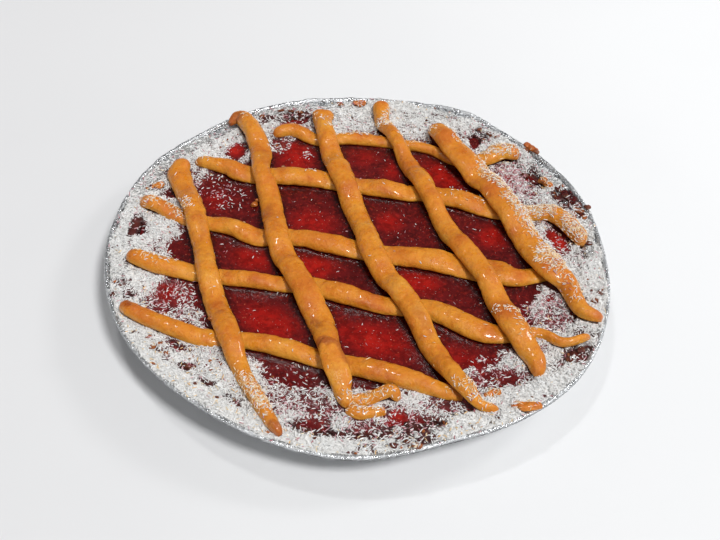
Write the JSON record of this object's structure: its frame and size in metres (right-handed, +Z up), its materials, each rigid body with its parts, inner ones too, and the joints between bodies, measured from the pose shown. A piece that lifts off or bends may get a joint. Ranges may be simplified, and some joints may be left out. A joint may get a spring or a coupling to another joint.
{
  "type": "jam crostata in a foil tin",
  "caption": "Round jam crostata in its crinkled foil tin, with a hand-laid lattice of rolled pastry ropes and a broad ring of coconut shreds.",
  "frame": {"origin": "centre of the tin's round foot, on the surface that the tin stands on", "axes": "+Z up; the ropes laid last run from the back (+Y) to the front (-Y), leaning to the right (+X); the ropes under them run from left to right"},
  "size_m": [0.2778, 0.2807, 0.0359],
  "materials": {
    "foil": "bright crinkled foil",
    "shell_pastry": "baked shortcrust, dry and crumbly",
    "pastry": "baked shortcrust, golden brown with a sticky glaze",
    "jam": "set red jam, wet and glossy"
  },
  "bodies": {
    "root": {"foil_tin": "foil", "pastry_shell": "shell_pastry", "jam": "jam", "jam_spill": "jam", "cross_rope_1": "pastry", "cross_rope_2": "pastry", "cross_rope_3": "pastry", "cross_rope_4": "pastry", "cross_rope_5": "pastry", "over_rope_1": "pastry", "over_rope_2": "pastry", "over_rope_3": "pastry", "over_rope_4": "pastry", "over_rope_5": "pastry", "loose_chip_1": "pastry", "loose_chip_2": "pastry", "loose_chip_3": "pastry", "loose_chip_4": "pastry", "loose_chip_5": "pastry"}
  },
  "joints": []
}
